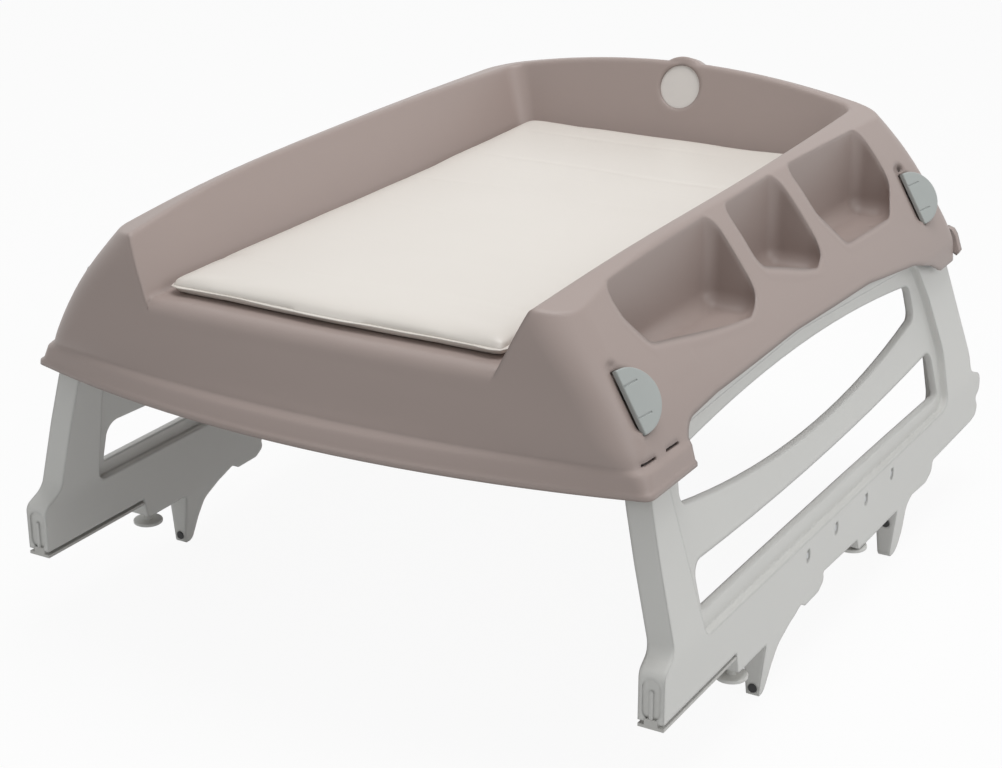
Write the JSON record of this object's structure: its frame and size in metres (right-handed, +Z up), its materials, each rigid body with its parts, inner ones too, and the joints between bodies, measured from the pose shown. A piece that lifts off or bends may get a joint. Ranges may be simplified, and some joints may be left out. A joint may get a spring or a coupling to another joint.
{
  "type": "over-bath changing table",
  "caption": "Moulded changing table with a loose mat and side pockets, on two hinged leg panels that stand across a bathtub or cot and fold inward.",
  "frame": {"origin": "middle of the footprint, level with the bottom of the hooks", "axes": "+Z up, +Y from the open front end of the mat towards the back with the badge, +X to the side with the pockets"},
  "size_m": [0.777, 0.9392, 0.5156],
  "materials": {
    "shell_plastic": "fine satin grain, taupe",
    "mat_vinyl": "soft padded vinyl film, warm off-white",
    "badge_plastic": "smooth bare disc",
    "leg_plastic": "satin, warm light grey",
    "button_plastic": "satin, cool light grey",
    "guide_plastic": "black, hidden under the shell",
    "foot_plastic": "satin, warm light grey",
    "grey_rubber": "soft light grey",
    "black_rubber": "matte black",
    "zinc_steel": "zinc plated",
    "spring_steel": "drawn wire",
    "brass": "turned"
  },
  "bodies": {
    "table": {"table_shell": "shell_plastic", "badge_disc": "badge_plastic", "hinge_pins": "zinc_steel", "bracket_screws": "zinc_steel", "right_front_hinge_bracket": "zinc_steel", "right_front_button_guide": "guide_plastic", "right_front_button_screws": "zinc_steel", "right_front_button_spring": "spring_steel", "right_rear_hinge_bracket": "zinc_steel", "right_rear_button_guide": "guide_plastic", "right_rear_button_screws": "zinc_steel", "right_rear_button_spring": "spring_steel", "left_front_hinge_bracket": "zinc_steel", "left_front_button_guide": "guide_plastic", "left_front_button_screws": "zinc_steel", "left_front_button_spring": "spring_steel", "left_rear_hinge_bracket": "zinc_steel", "left_rear_button_guide": "guide_plastic", "left_rear_button_screws": "zinc_steel", "left_rear_button_spring": "spring_steel"},
    "mat": {"changing_mat": "mat_vinyl"},
    "right_leg": {"right_leg_panel": "leg_plastic", "right_foot_strip": "grey_rubber", "right_front_hook_plug": "black_rubber", "right_rear_hook_plug": "black_rubber", "right_strip_screws": "zinc_steel", "right_rail_stiffener": "zinc_steel", "right_rail_screws": "zinc_steel", "right_foot_inserts": "brass"},
    "right_front_foot": {"right_front_levelling_foot": "foot_plastic"},
    "right_rear_foot": {"right_rear_levelling_foot": "foot_plastic"},
    "right_front_button": {"right_front_button": "button_plastic", "right_front_button_clip": "zinc_steel"},
    "right_rear_button": {"right_rear_button": "button_plastic", "right_rear_button_clip": "zinc_steel"},
    "left_leg": {"left_leg_panel": "leg_plastic", "left_foot_strip": "grey_rubber", "left_front_hook_plug": "black_rubber", "left_rear_hook_plug": "black_rubber", "left_strip_screws": "zinc_steel", "left_rail_stiffener": "zinc_steel", "left_rail_screws": "zinc_steel", "left_foot_inserts": "brass"},
    "left_front_foot": {"left_front_levelling_foot": "foot_plastic"},
    "left_rear_foot": {"left_rear_levelling_foot": "foot_plastic"},
    "left_front_button": {"left_front_button": "button_plastic", "left_front_button_clip": "zinc_steel"},
    "left_rear_button": {"left_rear_button": "button_plastic", "left_rear_button_clip": "zinc_steel"}
  },
  "joints": [
    {"name": "right_leg_fold", "type": "hinge", "parent": "table", "child": "right_leg", "pos_m": [0.32295, 0, 0.354], "axis": [0, 1, 0], "range_deg": [0, 88]},
    {"name": "right_front_foot_turn", "type": "hinge", "parent": "right_leg", "child": "right_front_foot", "pos_m": [0.3715, -0.24639, 0.0635], "axis": [0, 0, 1], "continuous": true},
    {"name": "right_rear_foot_turn", "type": "hinge", "parent": "right_leg", "child": "right_rear_foot", "pos_m": [0.3715, 0.079, 0.0635], "axis": [0, 0, 1], "continuous": true},
    {"name": "right_front_button_press", "type": "slide", "parent": "table", "child": "right_front_button", "axis": [-0.8604, 0.0451, -0.5075], "range_m": [0, 0.004], "stiffness_N_per_m": 500, "springref_m": -0.004, "deforming": ["right_front_button_spring"]},
    {"name": "right_rear_button_press", "type": "slide", "parent": "table", "child": "right_rear_button", "axis": [-0.8398, 0.118, -0.5299], "range_m": [0, 0.004], "stiffness_N_per_m": 500, "springref_m": -0.004, "deforming": ["right_rear_button_spring"]},
    {"name": "left_leg_fold", "type": "hinge", "parent": "table", "child": "left_leg", "pos_m": [-0.32295, 0, 0.354], "axis": [0, -1, 0], "range_deg": [0, 80]},
    {"name": "left_front_foot_turn", "type": "hinge", "parent": "left_leg", "child": "left_front_foot", "pos_m": [-0.3715, -0.24639, 0.0635], "axis": [0, 0, 1], "continuous": true},
    {"name": "left_rear_foot_turn", "type": "hinge", "parent": "left_leg", "child": "left_rear_foot", "pos_m": [-0.3715, 0.079, 0.0635], "axis": [0, 0, 1], "continuous": true},
    {"name": "left_front_button_press", "type": "slide", "parent": "table", "child": "left_front_button", "axis": [0.8604, 0.0451, -0.5075], "range_m": [0, 0.004], "stiffness_N_per_m": 500, "springref_m": -0.004, "deforming": ["left_front_button_spring"]},
    {"name": "left_rear_button_press", "type": "slide", "parent": "table", "child": "left_rear_button", "axis": [0.8398, 0.118, -0.5299], "range_m": [0, 0.004], "stiffness_N_per_m": 500, "springref_m": -0.004, "deforming": ["left_rear_button_spring"]},
    {"name": "mat_lift", "type": "slide", "parent": "table", "child": "mat", "axis": [0, 0, 1], "range_m": [0, 0.1]}
  ]
}
